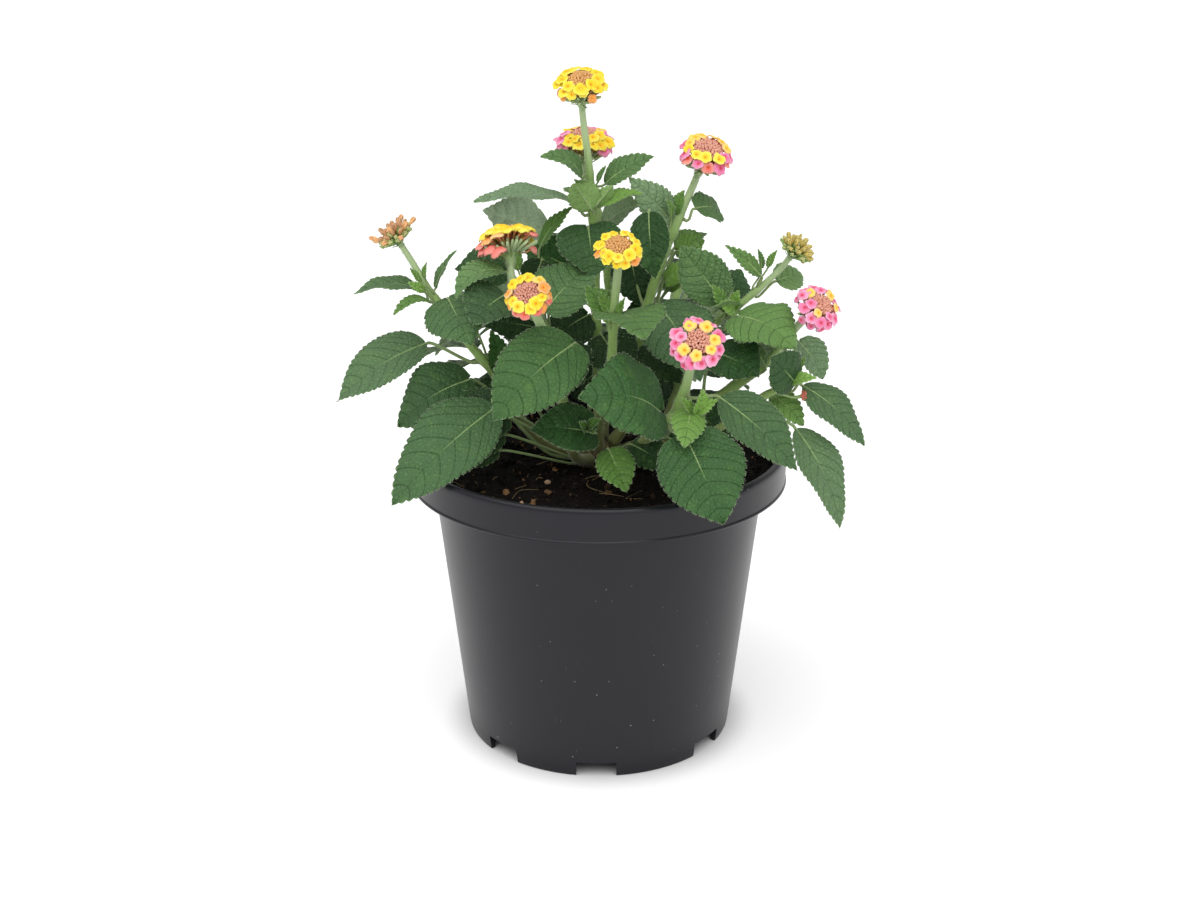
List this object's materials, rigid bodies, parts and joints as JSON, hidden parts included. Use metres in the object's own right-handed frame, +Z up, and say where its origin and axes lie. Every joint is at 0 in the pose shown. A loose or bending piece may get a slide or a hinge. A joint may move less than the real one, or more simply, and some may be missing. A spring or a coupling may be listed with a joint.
{
  "type": "potted lantana",
  "caption": "Bushy flowering lantana with toothed leaves and round two-tone flower heads, growing in a round nursery pot.",
  "frame": {"origin": "on the pot's axis, on the ground under the pot's foot", "axes": "+Z up along the pot's axis, -Y towards the plant's front, +X to the front view's right"},
  "size_m": [0.2581, 0.2225, 0.3401],
  "materials": {
    "pot_plastic": "satin",
    "potting_soil": "matte",
    "bark": "matte",
    "green_stem": "matte",
    "leaf": "matte",
    "yellow_petals": "matte",
    "pink_petals": "matte",
    "peach_buds": "matte",
    "green_buds": "matte"
  },
  "bodies": {
    "root": {"nursery_pot": "pot_plastic", "potting_soil": "potting_soil", "crown": "bark", "stem_top": "green_stem", "stem_rear_top": "green_stem", "stem_tall_right": "green_stem", "stem_front": "green_stem", "stem_left_mid": "green_stem", "stem_left_front": "green_stem", "stem_front_right": "green_stem", "stem_right_low": "green_stem", "stem_left_tall": "green_stem", "stem_right_tall": "green_stem", "stem_right_side": "green_stem", "stem_rear_left": "green_stem", "stem_rear_right": "green_stem", "flower_head_top": "yellow_petals", "flower_head_rear_top": "pink_petals", "flower_head_tall_right": "yellow_petals", "flower_head_front": "yellow_petals", "flower_head_left_mid": "yellow_petals", "flower_head_left_front": "yellow_petals", "flower_head_front_right": "pink_petals", "flower_head_right_low": "pink_petals", "flower_head_left_tall": "peach_buds", "flower_head_right_tall": "green_buds", "leaf_top_left_long": "leaf", "leaf_top_right": "leaf", "leaf_top_heart": "leaf", "leaf_rear_pale_left": "leaf", "leaf_dark_right": "leaf", "leaf_left_mid_high": "leaf", "leaf_left_mid_rugged": "leaf", "leaf_front_heart": "leaf", "leaf_centre_right": "leaf", "leaf_under_pink": "leaf", "leaf_side_front": "leaf", "leaf_side_far": "leaf", "leaf_side_hang": "leaf", "leaf_right_rim": "leaf", "leaf_front_drop": "leaf", "leaf_centre_front": "leaf", "leaf_low_left_dark": "leaf", "leaf_low_front_small": "leaf", "leaf_front_big": "leaf", "leaf_left_rim_big": "leaf", "leaf_left_low_dark": "leaf", "leaf_left_far": "leaf", "leaf_left_heart": "leaf", "leaf_left_out": "leaf", "leaf_right_folded": "leaf", "leaf_right_shelf": "leaf", "leaf_tall_right_out": "leaf", "leaf_right_tall_right": "leaf", "leaf_rear_left_end": "leaf", "leaf_rear_left_side": "leaf", "leaf_rear_right_end": "leaf", "leaf_rear_right_side": "leaf", "leaf_rear_low_left": "leaf", "leaf_rear_low_right": "leaf"}
  },
  "joints": []
}
